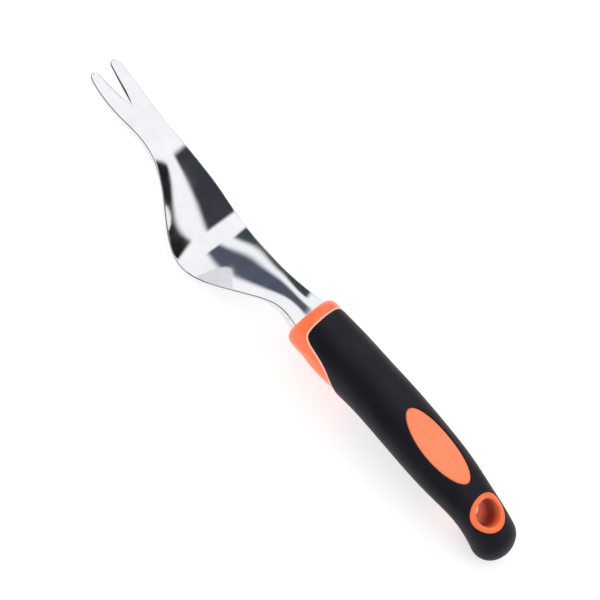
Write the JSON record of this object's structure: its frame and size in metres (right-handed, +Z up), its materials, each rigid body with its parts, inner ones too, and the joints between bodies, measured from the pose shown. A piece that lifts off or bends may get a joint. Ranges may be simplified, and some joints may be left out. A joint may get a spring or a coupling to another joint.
{
  "type": "hand weeder",
  "caption": "Hand weeder with a forked, polished cast blade, a deep fulcrum heel and a two-tone overmoulded handle with a hang hole.",
  "frame": {"origin": "on the ground, under the middle of the tool's bounding box, with the tool lying on its heel and the hook of its handle", "axes": "+X along the tool towards the fork, +Y to its left, +Z up; the tool is the same on both sides of Y = 0"},
  "size_m": [0.3246, 0.0456, 0.053],
  "materials": {
    "blade": "mirror-polished casting",
    "pin": "drawn steel rod",
    "core": "as moulded",
    "collar": "fine satin moulding",
    "grip": "soft-touch, matte",
    "pad": "fine satin moulding",
    "eyelet": "semi-gloss moulding"
  },
  "bodies": {
    "root": {"blade": "blade", "tang_pin": "pin", "handle_core": "core", "front_collar": "collar", "grip_sleeve": "grip", "thumb_pad": "pad", "hang_eyelet": "eyelet"}
  },
  "joints": []
}
